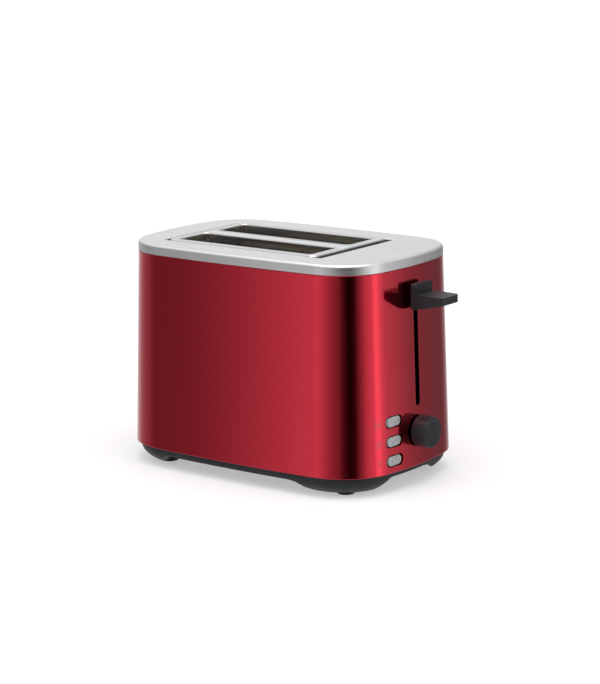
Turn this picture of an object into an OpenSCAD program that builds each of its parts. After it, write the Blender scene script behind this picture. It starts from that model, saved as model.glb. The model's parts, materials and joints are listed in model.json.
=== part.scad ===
// Pop up toaster with two long bread slots, a lever, three buttons, a browning knob and a crumb tray.
// The origin is on the table under the middle of the whole outline. +X points to the lever end, +Z up.
// Left is the -Y side and right the +Y side, as seen by a user who faces the lever end.

/* [Body] */
// Length of the painted shell at its lower edge
shell_length = 262; // [256:1:270]
// Width of the painted shell at its lower edge
shell_width = 171; // [168:1:180]
// Height of the painted shell
shell_height = 165; // [163:1:170]
// How far the shell leans in from its lower edge to its upper edge
shell_lean = 5.3; // [3:0.1:6]
// Radius of the bowed long sides, seen from above
side_radius = 1418; // [1000:1:3000]
// Radius of the bowed ends, seen from above
end_radius = 284; // [240:1:500]
// Radius of the corners at the lower edge, seen from above
corner_radius = 49.3; // [40:0.1:54]
// Thickness of the painted sheet
shell_wall = 1.2; // [0.8:0.1:1.4]
// Height of the base and feet under the shell
base_height = 17; // [16:0.5:18]
// Height of the steel rim above the shell
cover_height = 9; // [8.5:0.5:12]

/* [Bread slots] */
// Length of each bread slot
slot_length = 139; // [134:1:141]
// Width of each bread slot
slot_width = 38.5; // [36:0.5:39]
// Width of the divider between the slots
divider_width = 15; // [14.5:0.5:17]
// Middle of the slots, measured from the middle of the shell
slot_x = -14; // [-16:1:-12]

/* [Lever] */
// Way that the lever and the bread racks travel down
lever_travel = 82; // [70:1:83]
// Width of the lever knob
lever_width = 25; // [20:1:28]
// Way that the tongue of the lever stands out from its plate
lever_reach = 25.9; // [22:0.1:27]

/* [Controls] */
// Diameter of the browning knob
knob_diameter = 26.4; // [22:0.1:28]
// Depth of the browning knob
knob_depth = 13; // [12:0.5:16]
// Height of the browning knob's axis above the table
knob_z = 45.8; // [45:0.1:47]
// Distance of the buttons to the left of the lever
button_offset = 32.5; // [31:0.5:34]
// Width of a button
button_width = 17.4; // [16:0.1:18.4]
// Height of a button
button_height = 8; // [7:0.1:8.6]
// Way that a button travels in
button_travel = 1.8; // [1.2:0.1:2]

/* [Crumb tray] */
// Width of the crumb tray
tray_width = 96; // [80:1:98]
// Depth of the crumb tray
tray_depth = 8; // [6:0.5:8.5]

/* [Hidden] */
$fn = 48;

// Colours
paint_red = [0.52, 0.07, 0.10];
steel_bright = [0.86, 0.87, 0.88];
steel_grey = [0.62, 0.63, 0.65];
plastic_black = [0.10, 0.10, 0.11];
rubber_black = [0.05, 0.05, 0.05];
button_grey = [0.66, 0.67, 0.68];
mica = [0.80, 0.74, 0.60];
nichrome = [0.45, 0.40, 0.38];
board_green = [0.07, 0.30, 0.16];
copper = [0.72, 0.38, 0.20];
nylon = [0.90, 0.89, 0.84];

// Heights
shell_top = base_height + shell_height;
top_z = shell_top + cover_height;
seam = 0.3; // shadow gap between the shell and the steel rim
rim_z = shell_top + seam;
cover_edge = 3; // radius of the rim's upper edge
lip_gap = 0.3; // room between the shell and the lips inside it
frame_top = top_z + 0.8;
plate_top = frame_top - 6.3;
floor_z = 12; // upper side of the base's floor
gap_z = 10.5; // lower side of the base between the feet
arch_z = 12.6; // lower side of the base in the middle of its two ends
arch_x = 108; // where these arches begin
foot_z = 2.5; // lower side of the base at the feet

// Toasting chamber
sheet = 1; // sheet steel of the chamber
opening_back = slot_x - slot_length / 2 - 10;
opening_front = slot_x + slot_length / 2 + 15.5;
opening_half = 53;
frame_back = slot_x - slot_length / 2 - 5.2;
frame_front = slot_x + slot_length / 2 + 8;
frame_half = 52;
rear_plate_x = frame_back - sheet;
front_plate_x = frame_front - sheet;
plate_half = 52.8;
slot_inner = divider_width / 2;
slot_mid = slot_inner + slot_width / 2;
reflector_y = 52;
board_y = 49.6;
board_thick = 0.8;
ribbon_thick = 0.4;
wire_r = 0.9;
guide_shift = lever_travel / 12; // way that each guide grid closes
guide_outer = slot_inner + slot_width + wire_r;
guide_inner = slot_inner - 0.6 - wire_r;
guide_z = [52, 172];

// Carriage and lever
rack_top = 132.5;
rack_half = 11;
carriage_x = front_plate_x + 10;
rod_x = front_plate_x + 19;
rod_y = 24;
rod_r = 3;
bush_r = 5;
arm_z = 155.5; // middle of the lever arm
arm_tall = 6;
arm_thick = 2;
spring_y = 11;
spring_low = 134;
bracket_z = 176;
plate_gap = 3.7; // room between the shell and the lever's plate
lever_plate = 4.7;
lever_low = 148.3;
lever_high = 169.7;
slot_half = 3; // half the width of the lever's slot
slot_low = 66.6;
slot_high = 164;

// Controls
board_x = 100;
panel_x = 115.5;
panel_thick = 2.5;
shaft_r = 3;
button_zs = [59.5, 43.2, 27.2];
button_root = 121;
button_proud = 0.75; // way that a button's face stands out from the shell
button_room = [1.8, 0.95]; // room between a button and its hole, along and across the button
stem_r = 2.2;
magnet_x = 92;

// Crumb tray and rear end
tray_z = 22;
tray_wall = 0.8;
tray_back = -122;
tray_front = front_plate_x - 3;
handle_reach = 7;
handle_cover = 1.6; // thickness of the plate that covers the tray's opening
pull_half = 33; // half the width of the handle's pull
tongue_half = 30; // half the width of the tray's tongue, which carries the handle
gland_z = 56;
gland_bore = 3.5;

// The lever's tip and the tray's handle are the ends of the outline, and the frame is put midway.
front_reach = lean_x(lever_low) + plate_gap + lever_plate + lever_reach;
rear_reach = shell_length / 2 + handle_reach;
frame_x = (rear_reach - front_reach) / 2;

// How far the shell's outside has leaned in at height z
function lean(z) = (z - base_height) * shell_lean / shell_height;

// Where the outside of the lever end is at height z, in the middle of its width
function lean_x(z) = shell_length / 2 - lean(z);

// Plan of the body: bowed sides and ends joined by corner arcs that are tangent to both
end_centre = [shell_length / 2 - end_radius, 0];
side_centre = [0, shell_width / 2 - side_radius];
side_gap = side_radius - corner_radius;
end_gap = end_radius - corner_radius;
centre_span = norm(end_centre - side_centre);
along = (end_centre - side_centre) / centre_span;
foot_way = (side_gap * side_gap - end_gap * end_gap + centre_span * centre_span) / (2 * centre_span);
off_way = sqrt(side_gap * side_gap - foot_way * foot_way);
corner_centre = side_centre + foot_way * along + off_way * [along[1], -along[0]];
end_turn = atan2(corner_centre[1] - end_centre[1], corner_centre[0] - end_centre[0]);
side_turn = atan2(corner_centre[1] - side_centre[1], corner_centre[0] - side_centre[0]);

function arc_points(c, r, a, b, steps) =
    [for (i = [0:steps - 1]) c + r * [cos(a + (b - a) * i / steps), sin(a + (b - a) * i / steps)]];

// One quarter of the plan, from the middle of the end to the middle of the side
function quarter(inset) = concat(
    arc_points(end_centre, end_radius - inset, 0, end_turn, 4),
    arc_points(corner_centre, corner_radius - inset, end_turn, side_turn, 12),
    arc_points(side_centre, side_radius - inset, side_turn, 90, 4),
    [[0, shell_width / 2 - inset]]);

function plan(inset) = let (q = quarter(inset), n = len(q) - 1) concat(
    [for (i = [0:n - 1]) q[i]],
    [for (i = [n:-1:1]) [-q[i][0], q[i][1]]],
    [for (i = [0:n - 1]) -q[i]],
    [for (i = [n:-1:1]) [q[i][0], -q[i][1]]]);

// Closed solid through plans at several heights, given as [height, inset] from the bottom up
module loft(levels) {
    rings = [for (level = levels) [for (p = plan(level[1])) [p[0], p[1], level[0]]]];
    n = len(rings[0]);
    last = len(levels) - 1;
    polyhedron(
        points = [for (ring = rings) each ring],
        faces = concat(
            [[for (i = [0:n - 1]) i]],
            [[for (i = [n - 1:-1:0]) last * n + i]],
            [for (k = [0:last - 1], i = [0:n - 1]) [
                (k + 1) * n + i, (k + 1) * n + (i + 1) % n, k * n + (i + 1) % n, k * n + i]]));
}

// Wall that follows the shell's lean, between two heights and two insets from its outside
module leaning_wall(low, high, outside, inside) {
    difference() {
        loft([[low, lean(low) + outside], [high, lean(high) + outside]]);
        loft([[low - 1, lean(low - 1) + inside], [high + 1, lean(high + 1) + inside]]);
    }
}

// Puts a piece that was drawn from the middle of the shell into the part's frame
module placed() {
    translate([frame_x, 0, 0]) children();
}

// Box given by two opposite corners
module block(low, high) {
    translate(low) cube(high - low);
}

// Round bar along X from x1 to x2
module bar_x(x1, x2, y, z, r) {
    translate([x1, y, z]) rotate([0, 90, 0]) cylinder(h = x2 - x1, r = r);
}

// Upright round bar
module bar_z(x, y, z1, z2, r) {
    translate([x, y, z1]) cylinder(h = z2 - z1, r = r);
}

// Plate in the YZ plane from x to x + thick, drawn with its first axis along Y and its second along Z
module upright_plate(x, thick) {
    translate([x, 0, 0]) rotate([90, 0, 90]) linear_extrude(thick) children();
}

// Rectangle with round corners, given by two opposite corners
module rounded_box(low, high, r) {
    translate(low + [r, 0]) square(high - low - [2 * r, 0]);
    translate(low + [0, r]) square(high - low - [0, 2 * r]);
    for (x = [low[0] + r, high[0] - r], y = [low[1] + r, high[1] - r]) translate([x, y]) circle(r);
}

// Long shape with round ends, given by half its length and half its height
module pill(half_length, half_height) {
    end = half_length - half_height;
    square([2 * end, 2 * half_height], center = true);
    for (side = [-1, 1]) translate([side * end, 0]) circle(half_height);
}

module outer_shell() {
    color(paint_red) placed() difference() {
        leaning_wall(base_height, shell_top, 0, shell_wall);
        // slot for the lever arm
        upright_plate(110, 30) translate([0, (slot_low + slot_high) / 2]) rotate(90)
            pill((slot_high - slot_low) / 2, slot_half);
        // holes for the buttons
        for (z = button_zs) upright_plate(110, 30) translate([-button_offset, z])
            pill(button_width / 2 + button_room[0], button_height / 2 + button_room[1]);
        bar_x(110, 140, 0, knob_z, shaft_r + 2);
        // opening for the crumb tray and hole for the cord gland
        block([-140, -tray_width / 2 - 1, tray_z - 1.5],
            [-110, tray_width / 2 + 1, tray_z + tray_depth + 1.5]);
        bar_x(-140, -110, 0, gland_z, 6);
    }
}

module top_cover() {
    edge_steps = 5;
    outside = [for (i = [0:edge_steps]) let (a = 90 * i / edge_steps) [
        top_z - cover_edge * (1 - sin(a)), lean(rim_z) + cover_edge * (1 - cos(a))]];
    color(steel_bright) placed() difference() {
        union() {
            difference() {
                loft(concat([[rim_z, lean(rim_z)]], outside));
                loft([[rim_z - 1, lean(rim_z) + sheet], [top_z - cover_edge, lean(rim_z) + sheet],
                    [top_z - sheet, lean(rim_z) + cover_edge]]);
            }
            // lip that locates the cover inside the shell, and the ledge that carries it
            leaning_wall(rim_z, rim_z + sheet, 0.5, shell_wall + lip_gap + sheet);
            leaning_wall(shell_top - 5, rim_z + sheet, shell_wall + lip_gap, shell_wall + lip_gap + sheet);
            block([opening_back - sheet, -opening_half - sheet, top_z - 6.5],
                [opening_front + sheet, opening_half + sheet, top_z - sheet]);
        }
        block([opening_back, -opening_half, top_z - 10], [opening_front, opening_half, top_z + 1]);
    }
}

// Outline of the slot frame, or of its two slots, grown outwards by grow
module frame_outline(grow) {
    rounded_box([frame_back - grow, -frame_half - grow], [frame_front + grow, frame_half + grow], 5.5 + grow);
}

module slot_outlines(grow) {
    for (side = [-1, 1]) translate([slot_x, side * slot_mid])
        rounded_box([-slot_length / 2 - grow, -slot_width / 2 - grow],
            [slot_length / 2 + grow, slot_width / 2 + grow], 4 + grow);
}

module slot_frame() {
    rim_deep = 6;
    collar_deep = 8;
    color(steel_bright) placed() {
        translate([0, 0, frame_top - sheet]) linear_extrude(sheet) difference() {
            frame_outline(0);
            slot_outlines(0);
        }
        translate([0, 0, frame_top - rim_deep]) linear_extrude(rim_deep - sheet) difference() {
            frame_outline(0);
            frame_outline(-sheet);
        }
        translate([0, 0, frame_top - collar_deep]) linear_extrude(collar_deep - sheet) difference() {
            slot_outlines(0.6);
            slot_outlines(0);
        }
    }
}

// Foot profile: how the base curls in towards its feet, and steps in under the shell
foot_levels = [[foot_z, 13.6], [3.2, 12], [4.5, 10], [7, 7.6],
    [10.5, 5.4], [13.5, 4.1], [base_height + 1, 3.6]];

// Space under the base, cut along Y: level at height top from start to end, with a slope at each side
module under_gap(start, end, slopes, top, length) {
    translate([0, length / 2, 0]) rotate([90, 0, 0]) linear_extrude(length)
        polygon([[start - slopes[0], -1], [end + slopes[1], -1], [end + slopes[1], foot_z], [end, top],
            [start, top], [start - slopes[0], foot_z]]);
}

foot_xs = [-89, 96];
foot_y = 55.5;
foot_r = 7.6;
ledge = 1.2; // thickness of the ledge that joins the base's wall to the lip inside the shell
arch_floor = arch_z + 1.9; // upper side of the base's floor over the arches

module base() {
    color(plastic_black) placed() difference() {
        union() {
            difference() {
                loft(foot_levels);
                difference() {
                    loft([[floor_z, 6.6], [base_height + 2, 5]]);
                    for (end = [-1, 1]) translate([end * (arch_x + 18), 0, 0])
                        block([-20, -44, floor_z - 1], [20, 44, arch_floor]);
                }
                under_gap(-74, 58, [12, 16], gap_z, shell_width + 20);
                rotate(90) under_gap(-32, 32, [16, 16], gap_z, shell_length + 20);
                for (end = [-1, 1]) translate([end * (arch_x + 20), 0, 0])
                    rotate(90) under_gap(-32, 32, [10, 10], arch_z, 40);
            }
            // ledge and lip inside the shell
            leaning_wall(base_height, base_height + ledge, shell_wall + lip_gap, 5.6);
            leaning_wall(base_height, tray_z - 0.2, shell_wall + lip_gap, shell_wall + lip_gap + 1.6);
            // rails under the crumb tray
            for (side = [-1, 1]) translate([0, side * 44, 0])
            {
                block([rear_plate_x + 2 * sheet, -1, floor_z - 0.5], [tray_front, 1, tray_z - 0.2]);
                block([tray_back + 4, -1, floor_z - 0.5], [rear_plate_x - sheet, 1, tray_z - 0.2]);
            }
            // bosses for the guide rods
            for (side = [-1, 1]) bar_z(rod_x, side * rod_y, floor_z - 0.5, floor_z + 8, rod_r + 3);
        }
        for (side = [-1, 1]) bar_z(rod_x, side * rod_y, floor_z + 1, floor_z + 9, rod_r + 0.02);
        for (x = screw_xs, side = [-1, 1]) {
            bar_z(x, side * screw_y, 0, floor_z + 1, 1.8);
            bar_z(x, side * screw_y, 0, gap_z, screw_head + 0.4);
        }
        // recesses for the rubber feet
        for (x = foot_xs, side = [-1, 1]) bar_z(x, side * foot_y, -1, foot_z + 1.5, foot_r + 0.1);
    }
}

module rubber_feet() {
    color(rubber_black) placed() for (x = foot_xs, side = [-1, 1])
        translate([x, side * foot_y, 0]) rotate_extrude()
            polygon([[0, 0], [foot_r - 0.8, 0], [foot_r, 0.8], [foot_r, foot_z + 1.5], [0, foot_z + 1.5]]);
}

// The end plates stand on flanges that are screwed to the base from below.
screw_xs = [front_plate_x + 8, rear_plate_x - 7];
screw_y = 34;
screw_head = 3.2;
flange_half = 6;

module base_screws() {
    color(steel_grey) placed() for (x = screw_xs, side = [-1, 1])
        translate([x, side * screw_y, gap_z - 2]) difference() {
            union() {
                cylinder(h = 2, r = screw_head);
                cylinder(h = 9, r = 1.5);
            }
            for (turn = [0, 90]) rotate(turn) translate([-2.2, -0.4, -1]) cube([4.4, 0.8, 2]);
        }
}

// Holes that both end plates have: tracks for the racks, for the guides and for the board tabs
module plate_tracks() {
    for (side = [-1, 1]) {
        translate([side * slot_mid, (rack_top - lever_travel + rack_top) / 2 - 4.5]) rotate(90)
            pill((lever_travel + 16) / 2, 3);
        for (z = guide_z) {
            translate([side * (guide_outer - guide_shift / 2), z]) pill(guide_shift / 2 + 2, 1.2);
            translate([side * (guide_inner + guide_shift / 2), z]) pill(guide_shift / 2 + 2, 1.2);
        }
    }
    for (y = [-board_y - board_thick / 2, 0, board_y + board_thick / 2], z = board_tabs)
        translate([y, z]) square([board_thick + 0.4, 12.4], center = true);
}

module front_end_plate() {
    color(steel_grey) placed() difference() {
        union() {
            upright_plate(front_plate_x, sheet) difference() {
                translate([-plate_half, floor_z]) square([2 * plate_half, plate_top - floor_z]);
                plate_tracks();
            }
            for (side = [-1, 1])
                block([front_plate_x, side * screw_y - flange_half, floor_z],
                    [front_plate_x + 12, side * screw_y + flange_half, floor_z + sheet]);
        }
        for (side = [-1, 1]) bar_z(screw_xs[0], side * screw_y, 0, 20, 1.6);
    }
}

module rear_end_plate() {
    tray_room = tray_z + tray_depth + 1;
    color(steel_grey) placed() difference() {
        union() {
            upright_plate(rear_plate_x, sheet) difference() {
                translate([-plate_half, floor_z]) square([2 * plate_half, plate_top - floor_z]);
                plate_tracks();
                translate([-tray_width / 2 - 1, tray_z - 0.5])
                    square([tray_width + 2, tray_room - tray_z + 0.5]);
            }
            for (side = [-1, 1])
                block([rear_plate_x - 11, side * screw_y - flange_half, floor_z],
                    [rear_plate_x + sheet, side * screw_y + flange_half, floor_z + sheet]);
        }
        for (side = [-1, 1]) bar_z(screw_xs[1], side * screw_y, 0, 20, 1.6);
    }
}

module reflector(side) {
    color(steel_bright) placed() translate([0, side * reflector_y, 0])
        block([rear_plate_x + sheet, side > 0 ? 0 : -0.6, 33],
            [front_plate_x, side > 0 ? 0.6 : 0, plate_top - 0.5]);
}

module left_reflector() { reflector(-1); }

module right_reflector() { reflector(1); }

// Element boards of mica, each wound with one flat heating ribbon
board_low = 46;
board_high = 176;
board_tabs = [52, 170]; // heights of the tabs that hold a board in the end plates
board_reach = 65;
ribbon_low = 60;
ribbon_high = 160;
ribbon_count = 13;
ribbon_tall = 1.6;

module element_board(y) {
    color(mica) placed() translate([0, y, 0]) {
        translate([slot_x, 0, 0])
            block([-board_reach, -board_thick / 2, board_low], [board_reach, board_thick / 2, board_high]);
        for (z = board_tabs)
            block([rear_plate_x - 2, -board_thick / 2, z - 5], [front_plate_x + 3, board_thick / 2, z + 5]);
    }
}

module left_element_board() { element_board(-board_y - board_thick / 2); }

module centre_element_board() { element_board(0); }

module right_element_board() { element_board(board_y + board_thick / 2); }

// Height of a turn of the ribbon: the turns lie closer together towards the bottom
function ribbon_z(i) = let (share = i / (ribbon_count - 1))
    ribbon_low + (ribbon_high - ribbon_low) * share * (0.8 + 0.2 * share);

module heating_ribbon(y) {
    reach = board_reach + 0.1;
    room = board_thick / 2 + 0.02;
    color(nichrome) placed() translate([slot_x, y, 0]) {
        for (i = [0:ribbon_count - 1]) translate([0, 0, ribbon_z(i)]) difference() {
            block([-reach - ribbon_thick, -room - ribbon_thick, 0],
                [reach + ribbon_thick, room + ribbon_thick, ribbon_tall]);
            block([-reach, -room, -1], [reach, room, ribbon_tall + 1]);
        }
        // links from turn to turn, at the two ends by turns
        for (i = [0:ribbon_count - 2]) mirror([i % 2, 0, 0])
            block([reach, -room, ribbon_z(i) + ribbon_tall / 2],
                [reach + ribbon_thick, room, ribbon_z(i + 1) + ribbon_tall / 2]);
    }
}

module left_heating_ribbon() { heating_ribbon(-board_y - board_thick / 2); }

module centre_heating_ribbon() { heating_ribbon(0); }

module right_heating_ribbon() { heating_ribbon(board_y + board_thick / 2); }

// Bread guide: two long wires that run in the end plates and uprights between them
guide_uprights = 10;

module guide(y) {
    color(steel_bright) placed() {
        for (z = guide_z) bar_x(rear_plate_x - 2.5, front_plate_x + 3.5, y, z, wire_r);
        for (i = [0:guide_uprights - 1])
            bar_z(slot_x - 63 + 126 * i / (guide_uprights - 1), y, guide_z[0] - 3, guide_z[1] + 4, wire_r);
    }
}

module left_outer_guide() { guide(-guide_outer); }

module left_inner_guide() { guide(-guide_inner); }

module right_inner_guide() { guide(guide_inner); }

module right_outer_guide() { guide(guide_outer); }

// Bread rack: a spine on edge with cross bars whose ends are bent up
rack_bars = 11;

module bread_rack(side) {
    color(steel_bright) placed() translate([0, side * slot_mid, 0]) {
        block([rear_plate_x - 4, -1, rack_top - 9], [carriage_x, 1, rack_top - 2]);
        for (i = [0:rack_bars - 1]) translate([slot_x - 58 + 116 * i / (rack_bars - 1), 0, rack_top - 2.5]) {
            block([-2, -rack_half, 0], [2, rack_half, 1]);
            for (end = [-1, 1]) translate([0, end * (rack_half - 0.5), 0])
                block([-2, -0.5, 0], [2, 0.5, 2.5]);
        }
    }
}

module left_bread_rack() { bread_rack(-1); }

module right_bread_rack() { bread_rack(1); }

// Carriage: a folded plate with two pairs of lugs for the bushes, spring tabs and an arm for the armature
carriage_half = 34;
carriage_low = 120;
carriage_high = 166;
carriage_sheet = 2;
lug_zs = [128, 160];

module carriage() {
    color(steel_grey) placed() difference() {
        union() {
            block([carriage_x, -carriage_half, carriage_low],
                [carriage_x + carriage_sheet, carriage_half, carriage_high]);
            for (side = [-1, 1], z = lug_zs) translate([carriage_x, side * rod_y, z])
                block([0, -8, 0], [rod_x - carriage_x + 8, 8, carriage_sheet]);
            for (side = [-1, 1]) translate([carriage_x, side * spring_y, spring_low - carriage_sheet])
                block([0, -4, 0], [rod_x - carriage_x + 4, 4, carriage_sheet]);
            block([carriage_x, -6, carriage_low], [magnet_x + 6, 6, carriage_low + carriage_sheet]);
        }
        for (side = [-1, 1]) bar_z(rod_x, side * rod_y, 100, 180, bush_r + 0.02);
    }
}

module carriage_bushes() {
    color(nylon) placed() for (side = [-1, 1]) translate([rod_x, side * rod_y, lug_zs[0] - 2]) difference() {
        union() {
            cylinder(h = lug_zs[1] - lug_zs[0] + 6, r = bush_r);
            cylinder(h = 2, r = bush_r + 1.5);
        }
        translate([0, 0, -1]) cylinder(h = 60, r = rod_r + 0.06);
    }
}

module lever_arm() {
    color(steel_grey) placed() block([carriage_x + carriage_sheet, -arm_thick / 2, arm_z - arm_tall / 2],
        [lean_x(arm_z) + plate_gap + lever_plate + 10, arm_thick / 2, arm_z + arm_tall / 2]);
}

module armature() {
    color(steel_bright) placed()
        block([magnet_x - 6, -7, carriage_low - 3], [magnet_x + 6, 7, carriage_low]);
}

// Lever knob: an upright plate with a tongue that gets thinner towards its rounded tip
module lever_knob() {
    back = lean_x(lever_low) + plate_gap;
    half = lever_width / 2;
    tongue_top = 161.3;
    tip_low = tongue_top - 6.8;
    tip_r = 3.5;
    color(plastic_black) placed() difference() {
        union() {
            hull() for (y = [-half + 2, half - 2], z = [lever_low + 2, lever_high - 2])
                bar_x(back, back + lever_plate, y, z, 2);
            hull() {
                block([back + 1, -half, lever_low], [back + lever_plate, half, tongue_top]);
                for (y = [-half + tip_r, half - tip_r])
                    bar_z(back + lever_plate + lever_reach - tip_r, y, tip_low, tongue_top - 0.6, tip_r);
            }
        }
        block([back - 1, -arm_thick / 2 - 0.05, arm_z - arm_tall / 2 - 0.05],
            [back + lever_plate + 10.1, arm_thick / 2 + 0.05, arm_z + arm_tall / 2 + 0.05]);
    }
}

module guide_rods() {
    color(steel_bright) placed() for (side = [-1, 1])
        bar_z(rod_x, side * rod_y, floor_z + 1, bracket_z + 4, rod_r);
}

module top_bracket() {
    color(steel_grey) placed() difference() {
        union() {
            block([front_plate_x + sheet, -carriage_half, bracket_z],
                [rod_x + 9, carriage_half, bracket_z + 2]);
            block([front_plate_x + sheet, -carriage_half, bracket_z],
                [front_plate_x + 2 * sheet, carriage_half, plate_top]);
        }
        for (side = [-1, 1]) bar_z(rod_x, side * rod_y, 170, 190, rod_r + 0.02);
    }
}

// Lift springs: round wire swept along a helix, one closed mesh a spring
spring_turns = 13;
spring_r = 3.6;
spring_wire = 0.6;
spring_steps = 10;
spring_sides = 5;

module lift_springs() {
    rings = spring_turns * spring_steps;
    rise = bracket_z - spring_low - 2 * spring_wire;
    n = spring_sides;
    points = [for (i = [0:rings], k = [0:n - 1]) let (a = 360 * i / spring_steps, b = 360 * k / n,
        r = spring_r + spring_wire * cos(b)) [
            r * cos(a), r * sin(a), spring_wire + rise * i / rings + spring_wire * sin(b)]];
    color(steel_bright) placed() for (side = [-1, 1]) translate([rod_x - 1, side * spring_y, spring_low])
        polyhedron(points = points, faces = concat(
            [[for (k = [0:n - 1]) k]],
            [[for (k = [n - 1:-1:0]) rings * n + k]],
            [for (i = [0:rings - 1], k = [0:n - 1]) [i * n + k, (i + 1) * n + k, i * n + (k + 1) % n]],
            [for (i = [0:rings - 1], k = [0:n - 1]) [
                (i + 1) * n + k, (i + 1) * n + (k + 1) % n, i * n + (k + 1) % n]]));
}

// Frame behind the lever end: it guides the buttons and closes the lever's slot from inside
module control_panel_frame() {
    panel_left = -48;
    panel_right = 20;
    panel_low = arch_floor + 0.5;
    panel_top = 172;
    color(plastic_black) placed() upright_plate(panel_x, panel_thick) difference() {
        translate([panel_left, panel_low]) square([panel_right - panel_left, panel_top - panel_low]);
        translate([-3, slot_low - 2]) square([6, slot_high - slot_low + 4]);
        for (z = button_zs) translate([-button_offset, z]) circle(stem_r + 0.1);
        translate([0, knob_z]) circle(shaft_r + 1);
    }
}

module control_board() {
    color(board_green) placed() block([board_x, -50, floor_z], [board_x + 1.6, 28, 65]);
}

module board_components() {
    color([0.20, 0.20, 0.22]) placed() {
        block([board_x - 11, -46, 24], [board_x, -30, 42]);
        bar_x(board_x - 10, board_x, -20, 30, 4.5);
        bar_x(board_x - 8, board_x, 18, 26, 3.5);
        block([board_x - 3, -44, 50], [board_x, -26, 58]);
        block([board_x - 2.5, 10, 40], [board_x, 24, 54]);
    }
}

module button_switches() {
    color([0.15, 0.15, 0.16]) placed() for (z = button_zs) {
        block([board_x + 1.6, -button_offset - 3, z - 3], [board_x + 5.2, -button_offset + 3, z + 3]);
        bar_x(board_x + 5.2, board_x + 6.4, -button_offset, z, 1.7);
    }
}

module timer_potentiometer() {
    color(steel_grey) placed() difference() {
        union() {
            bar_x(board_x + 1.6, board_x + 9, 0, knob_z, 8.5);
            bar_x(board_x + 9, board_x + 14, 0, knob_z, 4.5);
        }
        bar_x(board_x + 3, board_x + 15, 0, knob_z, shaft_r + 0.06);
    }
}

knob_back = lean_x(knob_z - 13) + 0.8;

module timer_shaft() {
    color(steel_bright) placed() bar_x(board_x + 3.2, knob_back + 9, 0, knob_z, shaft_r);
}

module browning_knob() {
    r = knob_diameter / 2;
    color(plastic_black) placed() difference() {
        translate([knob_back, 0, knob_z]) rotate([0, 90, 0]) rotate_extrude($fn = 64)
            polygon([[0, 0], [r, 0], [r, knob_depth - 1.5], [r - 0.5, knob_depth - 0.5],
                [r - 1.5, knob_depth], [0, knob_depth]]);
        bar_x(knob_back - 1, knob_back + 9.1, 0, knob_z, shaft_r + 0.02);
    }
}

// Button: a long cap with round ends on a stem that reaches the switch
module button(z) {
    face = lean_x(z) - (end_radius - sqrt(end_radius * end_radius - button_offset * button_offset));
    color(button_grey) placed() {
        upright_plate(button_root, face + button_proud - button_root) translate([-button_offset, z])
            pill(button_width / 2, button_height / 2);
        bar_x(board_x + 6.4 + button_travel + 0.2, button_root + 0.1, -button_offset, z, stem_r);
    }
}

module reheat_button() { button(button_zs[0]); }

module defrost_button() { button(button_zs[1]); }

module cancel_button() { button(button_zs[2]); }

module magnet_core() {
    color(steel_grey) placed() {
        block([magnet_x - 7, -9, floor_z], [magnet_x + 6, 9, floor_z + 3]);
        bar_z(magnet_x, 0, floor_z + 2.9, carriage_low - 3 - lever_travel - 0.3, 3);
    }
}

module magnet_coil() {
    color(copper) placed() difference() {
        bar_z(magnet_x, 0, floor_z + 3.1, carriage_low - lever_travel - 5.5, 6);
        bar_z(magnet_x, 0, floor_z, 60, 3.1);
    }
}

terminal_x = rear_plate_x - 9;
terminal_y = 58.3;

module terminal_block() {
    color([0.88, 0.88, 0.85]) placed() difference() {
        block([terminal_x - 7, terminal_y - 8, floor_z], [terminal_x + 7, terminal_y + 8, floor_z + 14]);
        for (side = [-1, 1]) bar_z(terminal_x, terminal_y + 4 * side, floor_z + 6, floor_z + 20, 2);
    }
}

// Two wires from the terminal block to the control end, beside the crumb tray
module internal_wires() {
    color([0.75, 0.72, 0.66]) placed() for (side = [-1, 1])
        bar_x(terminal_x + 7, board_x - 18 - 3 * side, terminal_y + 4 * side, floor_z + 4, 1.3);
}

module cord_gland() {
    back = -lean_x(gland_z);
    color(rubber_black) placed() difference() {
        union() {
            bar_x(back - 2.4, back - 0.5, 0, gland_z, 8.5);
            bar_x(back - 1, back + shell_wall + 3, 0, gland_z, 5.9);
            bar_x(back + shell_wall + 0.8, back + shell_wall + 3, 0, gland_z, 8);
        }
        bar_x(back - 10, back + 20, 0, gland_z, gland_bore);
    }
}

module crumb_tray() {
    half = tray_width / 2;
    color(steel_grey) placed() {
        difference() {
            block([tray_back, -half, tray_z], [tray_front, half, tray_z + tray_depth]);
            block([tray_back + tray_wall, -half + tray_wall, tray_z + tray_wall],
                [tray_front - tray_wall, half - tray_wall, tray_z + tray_depth + 1]);
        }
        block([-lean_x(tray_z) - 4, -tongue_half, tray_z],
            [tray_back + 0.1, tongue_half, tray_z + tray_wall]);
    }
}

// Handle of the crumb tray: a plate that follows the bowed rear end and covers the opening, with a pull
module tray_handle() {
    low = tray_z - 3;
    high = tray_z + tray_depth + 3;
    cover_half = tray_width / 2 + 2.5;
    color(plastic_black) placed() difference() {
        union() {
            intersection() {
                loft([[low, lean(low) - handle_cover], [high, lean(high) - handle_cover]]);
                block([-shell_length, -cover_half, low], [-shell_length / 4, cover_half, high]);
            }
            intersection() {
                loft([[low, lean(low) - handle_reach + 1], [low + 5, -handle_reach],
                    [high, lean(high) - 3.5]]);
                block([-shell_length, -pull_half, low], [-shell_length / 4, pull_half, high]);
            }
        }
        loft([[low - 1, lean(low - 1) - 0.4], [high + 1, lean(high + 1) - 0.4]]);
        block([-lean_x(tray_z) - 4.1, -tongue_half - 0.1, tray_z - 0.05],
            [0, tongue_half + 0.1, tray_z + tray_wall + 0.05]);
    }
}

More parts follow.
